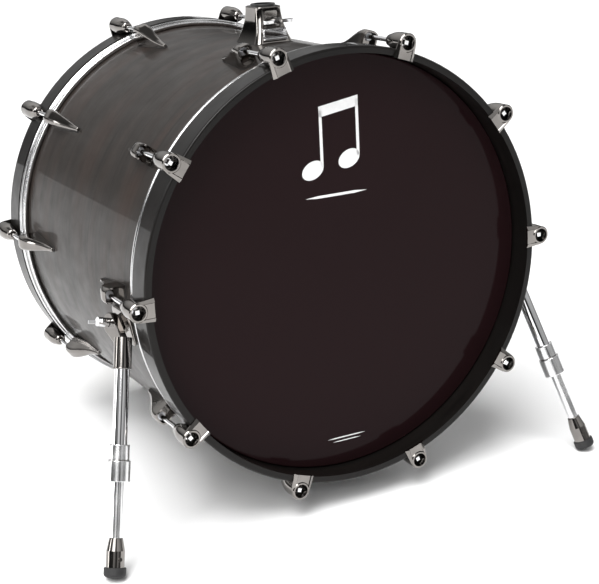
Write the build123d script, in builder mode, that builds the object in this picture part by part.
"""Bass drum, 22 x 18 inch, standing on two fold-away spurs and its lowest batter claws.

Millimetres, +Z up, floor at Z = 0. The audience side faces -Y, and the drum's axis
tips up towards it by the pitch angle.
"""
import os
from math import cos, radians, sin

from build123d import *

# ---------------------------------------------------------------- driving dimensions
shell_r = 279.4             # 22 inch drum
shell_depth = 457.2         # 18 inch between the bearing edges
shell_wall = 7.0
edge_roundover = 2.5        # outer round of a bearing edge
film = 0.5                  # drum head film
hoop_r = 290.0
hoop_wall = 9.6
hoop_width = 39.0
hoop_overhang = 33.5        # hoop face to head surface
flesh_outer_r = 289.0
flesh_inner_r = 282.0
flesh_width = 10.5
lug_count = 10
first_lug_angle = 18.0      # from the top, so that top and bottom are clear
rod_circle_r = 300.0
rod_r = 3.0
thread_gap = 0.05
gasket = 0.6
boss_r = 12.5               # claw round a tension rod
boss_rim = 3.0              # how far a boss keeps its full radius beyond the hoop's face
pitch = 3.3                 # front of the drum raised, degrees
mid_length_y = 247.06       # where the axis crosses the front hoop's face, ahead of the origin

tom_depth = 217.0           # tom socket behind the front hoop's face
tom_top_r = 326.5
tom_bore_r = 12.8           # takes a 1 inch post

spur_depth = 105.0          # spur pivot behind the front hoop's face
spur_pivot_xz = (296.3, -40.0)
leg_top = (297.8, 65.4, -58.6)      # x, depth and height of the leg's top on its axis
leg_direction = (0.2388, -0.2998, -0.9236)
leg_folded_direction = (0.10, 0.995, 0.0)
arm_thickness = 10.0
tube_r = 9.5
leg_rod_r = 7.1
collar_top, collar_step, collar_end = 125.0, 145.0, 171.0   # along the leg
rod_top, socket_top, foot_top = 62.0, 240.0, 276.0          # along the leg
foot_r = 14.0
foot_round = 5.0

# ---------------------------------------------------------------- frames
drum_length = shell_depth + 2 * (hoop_overhang + film)
# The drum stands on its feet and on the two lowest claws of the batter hoop.
claw_drop = rod_circle_r * cos(radians(first_lug_angle)) + boss_r
axis_height = claw_drop * cos(radians(pitch)) + (drum_length + boss_rim) * sin(radians(pitch))
front_dir = Vector(0, -cos(radians(pitch)), sin(radians(pitch)))
# Both head planes lie on a hoop's outer face: local Z leaves the drum, local Y is up.
front = Plane(origin=(0, -mid_length_y, axis_height), x_dir=(1, 0, 0), z_dir=front_dir)
batter = Plane(origin=front.origin - front_dir * drum_length, x_dir=(-1, 0, 0), z_dir=-front_dir)
heads = {"front": front, "batter": batter}
lug_angles = [first_lug_angle + 360.0 / lug_count * i for i in range(lug_count)]
os.makedirs("parts", exist_ok=True)


def point(x, depth, height):
    """A place by its offset to the right, depth behind the front face and height on the drum."""
    return front.origin + Vector(x, 0, 0) + front.y_dir * height - front.z_dir * depth


def direction(x, depth, height):
    return (Vector(x, 0, 0) + front.y_dir * height - front.z_dir * depth).normalized()


def radial(head, angle):
    """Outward direction at an angle from the top, anticlockwise as seen from outside."""
    return head.y_dir * cos(radians(angle)) - head.x_dir * sin(radians(angle))


def side_plane(head, angle=0.0):
    """Holds the drum's axis: local X leaves the drum along it, local Y is the radius."""
    out = radial(head, angle)
    return Plane(origin=head.origin, x_dir=head.z_dir, z_dir=head.z_dir.cross(out))


def wall_plane(head, angle, depth, radius=0.0):
    """Lies on the shell: local Z is outward, local Y points towards the hoop."""
    out = radial(head, angle)
    origin = head.origin + out * radius - head.z_dir * depth
    return Plane(origin=origin, x_dir=head.z_dir.cross(out), z_dir=out)


def drum_axis():
    return Axis(front.origin, front.z_dir)


def save(piece, name):
    piece.part.label = name
    export_step(piece.part, f"parts/{name}.step")


def copies(name, pieces):
    """One node of separate solids: each piece repeated at every lug of its head."""
    with BuildPart() as group:
        for piece, head in pieces:
            for angle in lug_angles:
                add(piece.rotate(Axis(head.origin, head.z_dir), angle))
    save(group, name)


# ---------------------------------------------------------------- shell
tom_frame = Plane(origin=point(0, tom_depth, 0), x_dir=(1, 0, 0), z_dir=front.y_dir)
vent_depth = drum_length / 2
vent_angle = 270.0
vent_hole_r = 6.0
vent_tube_r = 7.6
lug_open_end = 88.0         # depth of a lug's open end
lug_length = 78.0
lug_width = 21.0
lug_top_r = 307.4
screw_r = 2.0
lug_screw_offsets = (-40.0, -62.0)      # from the lug's open end
tom_bush_r = 15.0
tom_screw_span = (40.0, 50.0)
spur_screw_span = (34.0, 44.0)
spur_base_angle = 99.5
inside_r = shell_r - shell_wall
edge_z = -(hoop_overhang + film)        # bearing edge, in a head's frame
far_edge_z = edge_z - shell_depth
edge_centre_r = shell_r - edge_roundover


def spur_base_plane(side):
    return wall_plane(front, spur_base_angle * side, spur_depth)


with BuildPart() as shell:
    with BuildSketch(side_plane(front)) as wall:
        with BuildLine():
            Line((edge_z - edge_roundover, shell_r), (far_edge_z + edge_roundover, shell_r))
            CenterArc((far_edge_z + edge_roundover, edge_centre_r), edge_roundover, 90, 90)
            Polyline(
                (far_edge_z, edge_centre_r),
                (far_edge_z + (edge_centre_r - inside_r), inside_r),
                (edge_z - (edge_centre_r - inside_r), inside_r),
                (edge_z, edge_centre_r),
            )
            CenterArc((edge_z - edge_roundover, edge_centre_r), edge_roundover, 0, 90)
        make_face()
    revolve(axis=drum_axis())
    for head in heads.values():
        for angle in lug_angles:
            with BuildSketch(wall_plane(head, angle, lug_open_end)):
                with Locations(*[(0, offset) for offset in lug_screw_offsets]):
                    Circle(screw_r + 0.3)
            extrude(amount=hoop_r, mode=Mode.SUBTRACT)
    with BuildSketch(tom_frame):
        Circle(tom_bush_r + 0.8)
        with GridLocations(*tom_screw_span, 2, 2):
            Circle(screw_r + 0.8)
    extrude(amount=hoop_r, mode=Mode.SUBTRACT)
    for side in (1, -1):
        with BuildSketch(spur_base_plane(side)):
            with GridLocations(*spur_screw_span, 2, 2):
                Circle(screw_r + 0.8)
        extrude(amount=hoop_r, mode=Mode.SUBTRACT)
    with BuildSketch(wall_plane(front, vent_angle, vent_depth)):
        Circle(vent_tube_r)
    extrude(amount=hoop_r, mode=Mode.SUBTRACT)
save(shell, "shell")

with BuildPart() as vent_grommet:
    vent_side = Plane(
        origin=point(0, vent_depth, 0), x_dir=front.z_dir, z_dir=front.z_dir.cross(radial(front, vent_angle))
    )
    with BuildSketch(vent_side):
        with BuildLine():
            Polyline(
                (vent_hole_r, inside_r - 2.0),
                (vent_tube_r + 3.0, inside_r - 2.0),
                (vent_tube_r + 3.0, inside_r - 0.3),
                (vent_tube_r, inside_r - 0.3),
                (vent_tube_r, shell_r + 0.1),
                (vent_tube_r + 4.5, shell_r + 0.1),
                (vent_tube_r + 4.0, shell_r + 1.4),
                (vent_hole_r + 0.8, shell_r + 2.4),
                (vent_hole_r, shell_r + 1.8),
                close=True,
            )
        make_face()
    revolve(axis=Axis(vent_side.origin, radial(front, vent_angle)))
save(vent_grommet, "vent_grommet")

# ---------------------------------------------------------------- heads and hoops
film_drop = 43.0            # depth at which the film turns into the flesh hoop
film_flange_r = 285.5
collar_r = shell_r + film


def make_drum_head(head):
    """Film stretched over the bearing edge, with its rim held in the flesh hoop."""
    with BuildPart() as piece:
        with BuildSketch(side_plane(head)):
            with BuildLine():
                Line((-hoop_overhang, 0), (-hoop_overhang, edge_centre_r))
                CenterArc((edge_z - edge_roundover, edge_centre_r), edge_roundover + film, 0, 90)
                Polyline(
                    (edge_z - edge_roundover, collar_r),
                    (-film_drop, collar_r),
                    (-film_drop, film_flange_r),
                    (-film_drop - film, film_flange_r),
                    (-film_drop - film, shell_r),
                    (edge_z - edge_roundover, shell_r),
                )
                CenterArc((edge_z - edge_roundover, edge_centre_r), edge_roundover, 90, -90)
                Polyline((edge_z, edge_centre_r), (edge_z, 0), (-hoop_overhang, 0))
            make_face()
        revolve(axis=drum_axis())
    return piece


def make_flesh_hoop(head):
    """Rolled channel that grips the film's rim under the wood hoop."""
    outer, inner = -hoop_width, -hoop_width - flesh_width
    with BuildPart() as piece:
        with BuildSketch(side_plane(head)):
            with BuildLine():
                Polyline(
                    (outer, flesh_inner_r + 0.8),
                    (outer, flesh_outer_r - 1.0),
                    (outer - 1.0, flesh_outer_r),
                    (outer - 3.6, flesh_outer_r),
                    (outer - 4.4, flesh_outer_r - 1.1),
                    (outer - 6.2, flesh_outer_r - 1.1),
                    (outer - 7.0, flesh_outer_r),
                    (inner + 1.0, flesh_outer_r),
                    (inner, flesh_outer_r - 1.0),
                    (inner, flesh_inner_r + 0.8),
                    (inner + 0.8, flesh_inner_r),
                    (-film_drop - film, flesh_inner_r),
                    (-film_drop - film, film_flange_r),
                    (-film_drop, film_flange_r),
                    (-film_drop, flesh_inner_r),
                    (outer - 0.8, flesh_inner_r),
                    close=True,
                )
            make_face()
        revolve(axis=drum_axis())
    return piece


def make_hoop(head):
    """Wood hoop with a softly rounded outer face edge."""
    with BuildPart() as piece:
        with BuildSketch(head.offset(-hoop_width)):
            Circle(hoop_r)
            Circle(hoop_r - hoop_wall, mode=Mode.SUBTRACT)
        extrude(amount=hoop_width)
        rims = piece.edges().filter_by(GeomType.CIRCLE).sort_by(Axis(head.origin, head.z_dir))
        face_rims = rims[-2:].sort_by(SortBy.RADIUS)
        fillet(face_rims[-1], radius=3.0)
        fillet(piece.edges().filter_by(GeomType.CIRCLE).sort_by(SortBy.RADIUS)[:2], radius=1.2)
    return piece


for name, head in heads.items():
    save(make_drum_head(head), f"{name}_head")
    save(make_flesh_hoop(head), f"{name}_flesh_hoop")
    save(make_hoop(head), f"{name}_hoop")

# ---------------------------------------------------------------- claws and tension rods
recess_r = 9.4
recess_floor = -12.0
plate_root_width = 26.0     # at the tension rod
plate_tip_width = 31.0      # at the inner edge of the hoop
plate_bevel = 5.4
plate_front = 4.2
plate_end_r = 278.3
claw_nose = -41.0
nose_r = 8.0
washer_height = 1.2
flange_r = 5.4
flange_height = 2.6
key_size = 6.35
key_top = -0.2
rod_end = -(lug_open_end + 16.0)


def rod_axis(head):
    return Axis(head.origin + radial(head, 0) * rod_circle_r, head.z_dir)


def make_hook_plate(head):
    """Lies over the hoop's face, wider towards its end, with a sunk panel between two bevels."""
    half = plate_tip_width / 2
    ridge = half - plate_bevel
    with BuildPart() as piece:
        with BuildSketch(Plane(origin=head.origin, x_dir=head.x_dir, z_dir=head.y_dir)):
            Polygon(
                (-half, 0),
                (-half, -1.0),
                (-ridge, -plate_front),
                (1.0 - ridge, -plate_front + 1.2),
                (ridge - 1.0, -plate_front + 1.2),
                (ridge, -plate_front),
                (half, -1.0),
                (half, 0),
                align=None,
            )
        extrude(amount=rod_circle_r)
        with BuildSketch(head.offset(-plate_front)):
            Polygon(
                (-plate_root_width / 2, rod_circle_r),
                (plate_root_width / 2, rod_circle_r),
                (half, plate_end_r - 4.0),
                (-half, plate_end_r - 4.0),
                align=None,
            )
        extrude(amount=3 * plate_front, mode=Mode.INTERSECT)
    return piece.part


def make_claw(head):
    """Cast claw at the top of a head: a hook over the hoop's face and a boss round the rod."""
    side = side_plane(head)
    with BuildPart() as piece:
        with BuildSketch(side):
            with BuildLine():
                Polyline(
                    (claw_nose + 2.0, rod_circle_r),
                    (plate_front, rod_circle_r),
                    (plate_front, rod_circle_r + boss_r - (plate_front - boss_rim)),
                    (boss_rim, rod_circle_r + boss_r),
                    (-14.0, rod_circle_r + boss_r),
                )
                Bezier(
                    (-14.0, rod_circle_r + boss_r),
                    (-25.0, rod_circle_r + boss_r),
                    (claw_nose + 9.0, rod_circle_r + nose_r + 1.5),
                    (claw_nose + 3.0, rod_circle_r + nose_r),
                )
                ThreePointArc(
                    (claw_nose + 3.0, rod_circle_r + nose_r),
                    (claw_nose + 0.6, rod_circle_r + nose_r * 0.75),
                    (claw_nose, rod_circle_r + nose_r * 0.5),
                )
                Polyline(
                    (claw_nose, rod_circle_r + nose_r * 0.5),
                    (claw_nose, rod_circle_r),
                    (claw_nose + 2.0, rod_circle_r),
                )
            make_face()
        revolve(axis=rod_axis(head))
        add(make_hook_plate(head))
        with BuildSketch(head.offset(-60)):
            Circle(plate_end_r)
        extrude(amount=80, mode=Mode.SUBTRACT)
        with BuildSketch(head.offset(-60)):
            Circle(hoop_r + 0.02)
        extrude(amount=60, mode=Mode.SUBTRACT)
        with BuildSketch(head.offset(recess_floor)):
            with Locations((0, rod_circle_r)):
                Circle(recess_r)
        extrude(amount=30, mode=Mode.SUBTRACT)
        with BuildSketch(head.offset(claw_nose - 5)):
            with Locations((0, rod_circle_r)):
                Circle(rod_r + 0.6)
        extrude(amount=60, mode=Mode.SUBTRACT)
    return piece.part


def make_claw_washer(head):
    with BuildPart() as piece:
        with BuildSketch(head.offset(recess_floor)):
            with Locations((0, rod_circle_r)):
                Circle(recess_r - 0.6)
                Circle(rod_r + 0.4, mode=Mode.SUBTRACT)
        extrude(amount=washer_height)
        fillet(piece.faces().sort_by(Axis(head.origin, head.z_dir))[-1].outer_wire().edges(), radius=0.5)
    return piece.part


def make_tension_rod(head, angle):
    """Key rod: square drive, flange and a threaded shank drawn at its outside size."""
    base = recess_floor + washer_height + 0.05
    seat = Plane(head.origin + radial(head, angle) * rod_circle_r, radial(head, angle), head.z_dir)
    with BuildPart() as piece:
        with BuildSketch(seat.offset(base)):
            Circle(flange_r)
        extrude(amount=flange_height)
        fillet(piece.faces().sort_by(Axis(head.origin, head.z_dir))[-1].edges(), radius=1.0)
        with BuildSketch(seat.offset(base + flange_height - 0.2)):
            Rectangle(key_size, key_size)
        extrude(amount=key_top - (base + flange_height - 0.2))
        chamfer(piece.faces().sort_by(Axis(head.origin, head.z_dir))[-1].edges(), length=0.6)
        with BuildSketch(seat.offset(rod_end)):
            Circle(rod_r)
        extrude(amount=base - rod_end)
        chamfer(piece.faces().sort_by(Axis(head.origin, head.z_dir))[0].edges(), length=0.6)
    return piece


for name, head in heads.items():
    copies(f"{name}_claws", [(make_claw(head), head)])
    for number, angle in enumerate(lug_angles, start=1):
        save(make_tension_rod(head, angle), f"{name}_tension_rod_{number:02d}")
copies("claw_washers", [(make_claw_washer(head), head) for head in heads.values()])

# ---------------------------------------------------------------- lugs
lug_base_r = shell_r + gasket
tail_r = 3.2
cavity_depth = 8.0
cavity_top_r = lug_top_r - 1.5
cavity_floor_r = lug_base_r + 2.6
lug_root_r = 262.0          # the casting is drawn down to here, then cut by the shell
# Distance from the open end, width, top radius and corner radius of each section.
lug_sections = (
    (0.0, lug_width, lug_top_r, 6.0),
    (19.0, 20.0, lug_top_r - 0.6, 6.0),
    (37.0, 15.6, 298.4, 4.6),
    (57.0, 10.0, 289.8, 3.4),
    (lug_length, 5.4, 284.6, 2.2),
)
nut_r = 5.0
nut_collar_r = 5.8
nut_length = 9.0


def lug_outline(grow=0.0):
    """Teardrop seen from outside, with its open end on the local X axis."""
    half = lug_width / 2 + grow
    tail = tail_r + grow
    tail_y = tail_r - lug_length
    with BuildSketch() as outline:
        with BuildLine():
            Line((-half, grow), (half, grow))
            Bezier((half, grow), (half, -24.0), (tail + 1.5, -42.0), (tail, tail_y))
            ThreePointArc((tail, tail_y), (0, -lug_length - grow), (-tail, tail_y))
            Bezier((-tail, tail_y), (-tail - 1.5, -42.0), (-half, -24.0), (-half, grow))
        make_face()
    return outline.sketch


def make_lug(head):
    """Hollow die-cast lug at the top of a head, open towards the hoop."""
    mouth = -lug_open_end
    with BuildPart() as piece:
        for distance, width, top_r, corner in lug_sections:
            with BuildSketch(head.offset(mouth - distance)):
                with Locations((0, (top_r + lug_root_r) / 2)):
                    RectangleRounded(width, top_r - lug_root_r, corner)
        loft()
        fillet(piece.faces().sort_by(Axis(head.origin, head.z_dir))[0].edges(), radius=1.2)
        with BuildSketch(head.offset(mouth - lug_length - 10)):
            Circle(lug_base_r)
        extrude(amount=lug_length + 20, mode=Mode.SUBTRACT)
        with BuildSketch(head.offset(mouth)):
            with Locations((0, (cavity_floor_r + cavity_top_r) / 2)):
                RectangleRounded(lug_width - 4.4, cavity_top_r - cavity_floor_r, 4.6)
        extrude(amount=-cavity_depth, mode=Mode.SUBTRACT)
        with BuildSketch(head.offset(mouth - cavity_depth)):
            with Locations((0, rod_circle_r)):
                Circle(nut_r + 0.02)
        extrude(amount=-nut_length - 3.0, mode=Mode.SUBTRACT)
        with BuildSketch(wall_plane(head, 0, lug_open_end, lug_base_r - 2)):
            with Locations(*[(0, offset) for offset in lug_screw_offsets]):
                Circle(screw_r)
        extrude(amount=7.0, mode=Mode.SUBTRACT)
    return piece.part


def make_swivel_nut(head):
    """Threaded insert that takes the rod inside the lug."""
    top = -lug_open_end - cavity_depth + 2.4
    with BuildPart() as piece:
        with BuildSketch(head.offset(top - 2.4)):
            with Locations((0, rod_circle_r)):
                Circle(nut_collar_r)
        extrude(amount=2.4)
        chamfer(piece.edges().sort_by(Axis(head.origin, head.z_dir))[-1:], length=0.6)
        with BuildSketch(head.offset(top - 2.4 - nut_length)):
            with Locations((0, rod_circle_r)):
                Circle(nut_r)
        extrude(amount=nut_length)
        with BuildSketch(head.offset(top)):
            with Locations((0, rod_circle_r)):
                Circle(rod_r + thread_gap)
        extrude(amount=-nut_length - 5.0, mode=Mode.SUBTRACT)
    return piece.part


def wall_layer(inner_r, outer_r, head, depth):
    """Ring between two radii of the drum, to trim what lies on its wall near a depth."""
    with BuildPart() as ring:
        with BuildSketch(head.offset(-depth - 100)):
            Circle(outer_r)
            Circle(inner_r, mode=Mode.SUBTRACT)
        extrude(amount=200)
    return ring.part


def make_lug_gasket(head):
    with BuildPart() as piece:
        with BuildSketch(wall_plane(head, 0, lug_open_end, inside_r)):
            add(lug_outline(grow=0.7))
            with Locations(*[(0, offset) for offset in lug_screw_offsets]):
                Circle(screw_r + 0.3, mode=Mode.SUBTRACT)
        extrude(amount=20)
        add(wall_layer(shell_r, lug_base_r, head, lug_open_end), mode=Mode.INTERSECT)
    return piece.part


def make_inside_screw(plane, reach, head_r=4.2):
    """Pan-head screw with its washer, driven outward from inside the shell wall."""
    with BuildPart() as piece:
        with BuildSketch(plane.offset(-1.0)):
            Circle(head_r + 1.4)
        extrude(amount=1.0)
        with BuildSketch(plane.offset(-3.8)):
            Circle(head_r)
        extrude(amount=2.8)
        fillet(piece.faces().sort_by(Axis(plane.origin, plane.z_dir))[0].edges(), radius=1.2)
        with BuildSketch(plane):
            Circle(screw_r - 0.02)
        extrude(amount=reach)
    return piece.part


for name, head in heads.items():
    copies(f"{name}_lugs", [(make_lug(head), head)])
copies("lug_swivel_nuts", [(make_swivel_nut(head), head) for head in heads.values()])
copies(
    "lug_screws",
    [
        (make_inside_screw(wall_plane(head, 0, lug_open_end - offset, inside_r - 0.1), 12.0), head)
        for head in heads.values()
        for offset in lug_screw_offsets
    ],
)

# ---------------------------------------------------------------- tom mount
tom_sections = ((268.0, 66.0, 76.0), (284.0, 53.0, 64.0), (302.0, 43.0, 51.0), (tom_top_r, 38.5, 43.0))
tom_wing_r = 308.5          # height of the wing bolt on the socket's front face
tom_pocket_y = -17.8
tom_flange = 3.0
tom_plate = 2.5             # backing plate inside the shell


def make_wing_bolt(plane, hub_r, hub_height, span, shank_r, shank_length, neck=1.5):
    """Wing bolt: hub and wings along the plane's Z from its neck up, shank the other way."""
    with BuildPart() as piece:
        with BuildSketch(plane):
            Circle(hub_r)
        extrude(amount=hub_height)
        wing_side = Plane(origin=plane.origin, x_dir=plane.x_dir, z_dir=-plane.y_dir)
        with BuildSketch(wing_side):
            with BuildLine():
                Polyline(
                    (0, neck), (hub_r, neck + 1.0), (span / 2 - 5.0, hub_height - 5.0)
                )
                ThreePointArc(
                    (span / 2 - 5.0, hub_height - 5.0),
                    (span / 2, hub_height + 1.0),
                    (span / 2 - 6.0, hub_height + 4.5),
                )
                Polyline(
                    (span / 2 - 6.0, hub_height + 4.5), (hub_r, hub_height - 1.0), (0, hub_height - 1.0), (0, neck)
                )
            make_face()
            mirror(about=Plane.YZ)
        extrude(amount=2.0, both=True)
        fillet(piece.faces().sort_by(Axis(plane.origin, plane.z_dir))[0].edges(), radius=0.8)
        with BuildSketch(plane.offset(-shank_length)):
            Circle(shank_r)
        extrude(amount=shank_length)
    return piece


with BuildPart() as tom_mount_base:
    for radius, width, length in tom_sections:
        with BuildSketch(tom_frame.offset(radius)):
            RectangleRounded(width, length, 9.0)
    loft()
    fillet(tom_mount_base.faces().sort_by(Axis(tom_frame.origin, tom_frame.z_dir))[-1].edges(), radius=1.6)
    with BuildSketch(front.offset(-tom_depth - 60)):
        Circle(lug_base_r)
    extrude(amount=120, mode=Mode.SUBTRACT)
    with BuildSketch(tom_frame):
        Circle(tom_bush_r + 0.02)
    extrude(amount=400, mode=Mode.SUBTRACT)
    pocket_plane = Plane(
        origin=tom_frame.origin + tom_frame.y_dir * tom_pocket_y, x_dir=(1, 0, 0), z_dir=front.z_dir
    )
    with BuildSketch(pocket_plane):
        with Locations((2.0, tom_wing_r + 1.5)):
            RectangleRounded(24.0, 22.0, 4.0)
        with Locations((0, 290.4)):
            RectangleRounded(36.0, 16.4, 2.0)
    extrude(amount=30, mode=Mode.SUBTRACT)
    with BuildSketch(pocket_plane):
        with Locations((0, tom_wing_r)):
            Circle(4.06)
    extrude(amount=-10, mode=Mode.SUBTRACT)
    with BuildSketch(tom_frame.offset(260)):
        with GridLocations(*tom_screw_span, 2, 2):
            Circle(screw_r)
    extrude(amount=30, mode=Mode.SUBTRACT)
save(tom_mount_base, "tom_mount_base")

with BuildPart() as tom_mount_bush:
    with BuildSketch(tom_frame.offset(inside_r)):
        Circle(tom_bush_r)
    extrude(amount=tom_top_r - inside_r)
    with BuildSketch(tom_frame.offset(tom_top_r)):
        Circle(tom_bush_r + 1.9)
    extrude(amount=tom_flange)
    fillet(tom_mount_bush.faces().sort_by(Axis(tom_frame.origin, tom_frame.z_dir))[-1].edges(), radius=1.0)
    with BuildSketch(tom_frame):
        Circle(tom_bore_r)
    extrude(amount=400, mode=Mode.SUBTRACT)
save(tom_mount_bush, "tom_mount_bush")

tom_wing_plane = Plane(
    origin=pocket_plane.origin + pocket_plane.y_dir * tom_wing_r + pocket_plane.z_dir * 0.5,
    x_dir=(1, 0, 0),
    z_dir=front.z_dir,
)
save(make_wing_bolt(tom_wing_plane, 5.6, 26.5, 44.0, 4.0, 3.0, neck=19.4), "tom_mount_wing_bolt")

with BuildPart() as tom_mount_clamp:
    with BuildSketch(pocket_plane.offset(0.2)):
        with Locations((0, 290.4)):
            RectangleRounded(35.4, 15.8, 1.8)
    extrude(amount=13.6)
    with BuildSketch(pocket_plane.offset(10)):
        with Locations((-2.6, 292.6)):
            RectangleRounded(30.0, 10.6, 1.6)
    extrude(amount=7.0)
    with BuildSketch(pocket_plane.offset(10)):
        with Locations((0, 284.2)):
            RectangleRounded(35.4, 3.4, 1.4)
    extrude(amount=8.4)
    fillet(tom_mount_clamp.faces().sort_by(Axis(front.origin, front.z_dir))[-2:].edges(), radius=0.8)
save(tom_mount_clamp, "tom_mount_clamp")

with BuildPart() as tom_mount_plate:
    with BuildSketch(tom_frame.offset(inside_r - 20)):
        RectangleRounded(66.0, 72.0, 8.0)
        Circle(tom_bush_r + 0.8, mode=Mode.SUBTRACT)
        with GridLocations(*tom_screw_span, 2, 2):
            Circle(screw_r + 0.8, mode=Mode.SUBTRACT)
    extrude(amount=30)
    add(wall_layer(inside_r - tom_plate, inside_r, front, tom_depth), mode=Mode.INTERSECT)
save(tom_mount_plate, "tom_mount_plate")

with BuildPart() as tom_mount_screws:
    for x in (-tom_screw_span[0] / 2, tom_screw_span[0] / 2):
        for y in (-tom_screw_span[1] / 2, tom_screw_span[1] / 2):
            seat_origin = tom_frame.origin + tom_frame.x_dir * x + tom_frame.y_dir * y
            seat_r = ((inside_r - tom_plate) ** 2 - (abs(x) + 5.6) ** 2) ** 0.5
            seat = Plane(seat_origin + tom_frame.z_dir * seat_r, tom_frame.x_dir, tom_frame.z_dir)
            add(make_inside_screw(seat, 18.0))
save(tom_mount_screws, "tom_mount_screws")

# ---------------------------------------------------------------- spurs
spur_base_size = (46.0, 58.0)
spur_plate_height = 5.5
pivot_shank_r = 4.0
knob_r = 11.5
socket_r = 11.5
socket_bottom = 30.0
arm_boss_r = 13.0


class Spur:
    """Frames of one spur: side is 1 on the drum's left as seen from the front, -1 on its right."""

    def __init__(self, side):
        x = -side
        self.side = side
        self.pivot = point(x * spur_pivot_xz[0], spur_depth, spur_pivot_xz[1])
        self.top = point(x * leg_top[0], leg_top[1], leg_top[2])
        self.leg_dir = direction(x * leg_direction[0], leg_direction[1], leg_direction[2])
        folded = direction(
            x * leg_folded_direction[0], leg_folded_direction[1], leg_folded_direction[2]
        )
        self.out = self.leg_dir.cross(folded).normalized() * -side
        # The leg's plane: local Z leaves the drum, local Y runs up the leg.
        self.arm = Plane(origin=self.pivot, x_dir=(-self.leg_dir).cross(self.out), z_dir=self.out)
        self.leg = Plane(origin=self.top, x_dir=self.out, z_dir=self.leg_dir)

    def leg_at(self, distance):
        return self.leg.offset(distance)


def foot_end(spur):
    """Distance down the leg to the foot's end, so that its rounded rim just meets the floor."""
    fall = -spur.leg_dir.Z
    lean = (1 - fall**2) ** 0.5
    ring_r = foot_r - foot_round
    return (spur.top.Z - foot_round - ring_r * lean) / fall + foot_round


def leg_cylinder(spur, radius, start, end):
    """Cylinder on the leg's axis between two distances from the leg's top."""
    with BuildPart() as cylinder:
        with BuildSketch(spur.leg_at(start)):
            Circle(radius)
        extrude(amount=end - start)
    return cylinder.part


def make_spur_bracket(spur):
    base = spur_base_plane(spur.side)
    with BuildPart() as piece:
        with BuildSketch(base):
            RectangleRounded(*spur_base_size, 9.0)
        extrude(amount=lug_base_r + spur_plate_height)
        crown = piece.faces().sort_by(Axis(base.origin, base.z_dir))[-1].edges()
        fillet(crown, radius=2.5)
        with BuildSketch(spur.arm.offset(-arm_thickness / 2 - 0.4)):
            RegularPolygon(knob_r, 8)
        extrude(amount=-9.0)
        with BuildSketch(spur.arm.offset(-arm_thickness / 2 - 9.0)):
            Circle(knob_r + 1.5)
        extrude(amount=-30.0)
        with BuildSketch(front.offset(-spur_depth - 60)):
            Circle(lug_base_r)
        extrude(amount=120, mode=Mode.SUBTRACT)
        with BuildSketch(spur.arm):
            Circle(pivot_shank_r + 0.06)
        extrude(amount=-18.0, mode=Mode.SUBTRACT)
        with BuildSketch(base.offset(lug_base_r - 5)):
            with GridLocations(*spur_screw_span, 2, 2):
                Circle(screw_r)
        extrude(amount=9.0, mode=Mode.SUBTRACT)
    return piece


def make_spur_arm(spur):
    """Arm plate from the pivot to the leg socket."""
    leg_offset = spur.arm.to_local_coords(spur.top)
    with BuildPart() as piece:
        with BuildSketch(spur.arm.offset(-arm_thickness / 2)):
            Circle(arm_boss_r)
            with Locations((leg_offset.X, leg_offset.Y + 1.0)):
                Circle(8.0)
            make_hull()
        extrude(amount=arm_thickness)
        fillet(piece.faces().sort_by(Axis(spur.arm.origin, spur.arm.z_dir))[-1].edges(), radius=1.5)
        add(leg_cylinder(spur, socket_r, -9.0, socket_bottom))
        rims = piece.faces().sort_by(Axis(spur.top, spur.leg_dir))
        fillet(rims[-1].edges(), radius=1.0)
        fillet(rims[0].edges(), radius=2.0)
        add(leg_cylinder(spur, tube_r + 0.02, -4.0, socket_bottom + 5), mode=Mode.SUBTRACT)
        with BuildSketch(spur.arm.offset(-arm_thickness)):
            Circle(pivot_shank_r + 0.06)
        extrude(amount=2 * arm_thickness, mode=Mode.SUBTRACT)
    return piece


def make_spur_tube(spur):
    with BuildPart() as piece:
        add(leg_cylinder(spur, tube_r, -3.8, collar_step))
        add(leg_cylinder(spur, leg_rod_r + thread_gap, -10.0, collar_step + 5), mode=Mode.SUBTRACT)
    return piece


def make_spur_collar(spur):
    """Two-step clamp collar with a key screw in its split ear."""
    with BuildPart() as piece:
        add(leg_cylinder(spur, 13.0, collar_top, collar_end))
        add(leg_cylinder(spur, 14.8, collar_step, collar_end))
        rims = piece.edges().filter_by(GeomType.CIRCLE).sort_by(Axis(spur.top, spur.leg_dir))
        fillet(rims[:1] + rims.sort_by(SortBy.RADIUS)[-2:], radius=0.9)
        add(leg_cylinder(spur, tube_r + 0.02, collar_top - 5, collar_step), mode=Mode.SUBTRACT)
        add(leg_cylinder(spur, leg_rod_r + thread_gap, collar_top, collar_end + 5), mode=Mode.SUBTRACT)
        screw_plane = Plane(
            origin=spur.top + spur.leg_dir * ((collar_step + collar_end) / 2),
            x_dir=spur.leg_dir,
            z_dir=-spur.arm.x_dir * spur.side,
        )
        with BuildSketch(screw_plane.offset(12.5)):
            Circle(2.6)
        extrude(amount=10, mode=Mode.SUBTRACT)
    return piece


def make_spur_rod(spur):
    with BuildPart() as piece:
        add(leg_cylinder(spur, leg_rod_r, rod_top, foot_top - 14.0))
        chamfer(piece.faces().sort_by(Axis(spur.top, spur.leg_dir))[0].edges(), length=1.0)
        add(leg_cylinder(spur, 4.0, foot_top - 14.0, foot_top + 8.0))
    return piece


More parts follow.
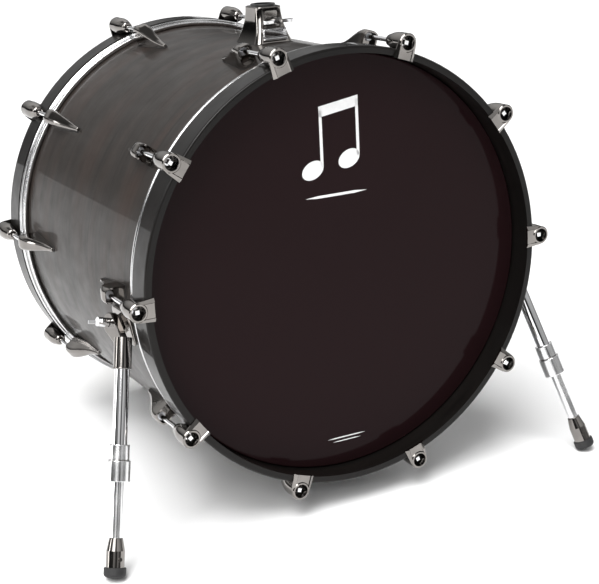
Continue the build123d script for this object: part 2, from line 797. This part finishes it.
def make_foot_socket(spur):
    """Conical ferrule on the leg's end with a cross pin."""
    with BuildPart() as piece:
        with BuildSketch(spur.leg_at(socket_top)):
            Circle(8.6)
        with BuildSketch(spur.leg_at(socket_top + 16.0)):
            Circle(11.8)
        loft()
        add(leg_cylinder(spur, 11.8, socket_top + 16.0, foot_top))
        ends = piece.faces().filter_by(GeomType.PLANE).sort_by(Axis(spur.top, spur.leg_dir))
        fillet(ends[0].edges(), radius=0.8)
        pin_plane = Plane(
            origin=spur.top + spur.leg_dir * (foot_top - 10.0), x_dir=spur.leg_dir, z_dir=spur.arm.x_dir
        )
        with BuildSketch(pin_plane):
            Circle(2.4)
        extrude(amount=13.4, both=True)
        add(leg_cylinder(spur, leg_rod_r + 0.02, socket_top - 5, foot_top - 14.0), mode=Mode.SUBTRACT)
        add(leg_cylinder(spur, 4.02, foot_top - 20, foot_top + 5), mode=Mode.SUBTRACT)
    return piece


def make_foot(spur):
    with BuildPart() as piece:
        add(leg_cylinder(spur, foot_r, foot_top + 0.3, foot_end(spur)))
        rims = piece.faces().filter_by(GeomType.PLANE).sort_by(Axis(spur.top, spur.leg_dir))
        fillet(rims[-1].edges(), radius=foot_round)
        fillet(rims[0].edges(), radius=1.0)
        add(leg_cylinder(spur, 4.06, foot_top - 5, foot_top + 8.3), mode=Mode.SUBTRACT)
    return piece


spurs = {"left": Spur(1), "right": Spur(-1)}
for name, spur in spurs.items():
    save(make_spur_bracket(spur), f"{name}_spur_bracket")
    save(make_spur_arm(spur), f"{name}_spur_arm")
    wing_plane = Plane(
        origin=spur.pivot + spur.out * (arm_thickness / 2 + 0.3), x_dir=spur.arm.x_dir, z_dir=spur.out
    )
    save(make_wing_bolt(wing_plane, 6.0, 15.0, 38.0, pivot_shank_r, 18.0), f"{name}_spur_wing_bolt")
    save(make_spur_tube(spur), f"{name}_spur_tube")
    save(make_spur_collar(spur), f"{name}_spur_collar")
    save(make_spur_rod(spur), f"{name}_spur_rod")
    save(make_foot_socket(spur), f"{name}_foot_socket")
    save(make_foot(spur), f"{name}_foot")

with BuildPart() as spur_screws:
    for spur in spurs.values():
        base = spur_base_plane(spur.side)
        for x in (-spur_screw_span[0] / 2, spur_screw_span[0] / 2):
            for y in (-spur_screw_span[1] / 2, spur_screw_span[1] / 2):
                seat_origin = base.origin + base.x_dir * x + base.y_dir * y
                seat_r = (inside_r**2 - (abs(x) + 5.6) ** 2) ** 0.5
                add(make_inside_screw(Plane(seat_origin + base.z_dir * seat_r, base.x_dir, base.z_dir), 12.0))
save(spur_screws, "spur_screws")

# ---------------------------------------------------------------- gaskets under all fittings
with BuildPart() as tom_gasket:
    with BuildSketch(tom_frame.offset(inside_r)):
        RectangleRounded(59.0, 69.0, 9.5)
        Circle(tom_bush_r + 0.8, mode=Mode.SUBTRACT)
        with GridLocations(*tom_screw_span, 2, 2):
            Circle(screw_r + 0.8, mode=Mode.SUBTRACT)
    extrude(amount=20)
    add(wall_layer(shell_r, lug_base_r, front, tom_depth), mode=Mode.INTERSECT)


def make_spur_gasket(spur):
    with BuildPart() as piece:
        with BuildSketch(spur_base_plane(spur.side).offset(inside_r - 10)):
            RectangleRounded(spur_base_size[0] + 1.4, spur_base_size[1] + 1.4, 9.7)
            with GridLocations(*spur_screw_span, 2, 2):
                Circle(screw_r + 0.8, mode=Mode.SUBTRACT)
        extrude(amount=30)
        add(wall_layer(shell_r, lug_base_r, front, spur_depth), mode=Mode.INTERSECT)
    return piece.part


with BuildPart() as fitting_gaskets:
    add(tom_gasket.part)
    for spur in spurs.values():
        add(make_spur_gasket(spur))
    for head in heads.values():
        lug_gasket = make_lug_gasket(head)
        for angle in lug_angles:
            add(lug_gasket.rotate(Axis(head.origin, head.z_dir), angle))
save(fitting_gaskets, "fitting_gaskets")
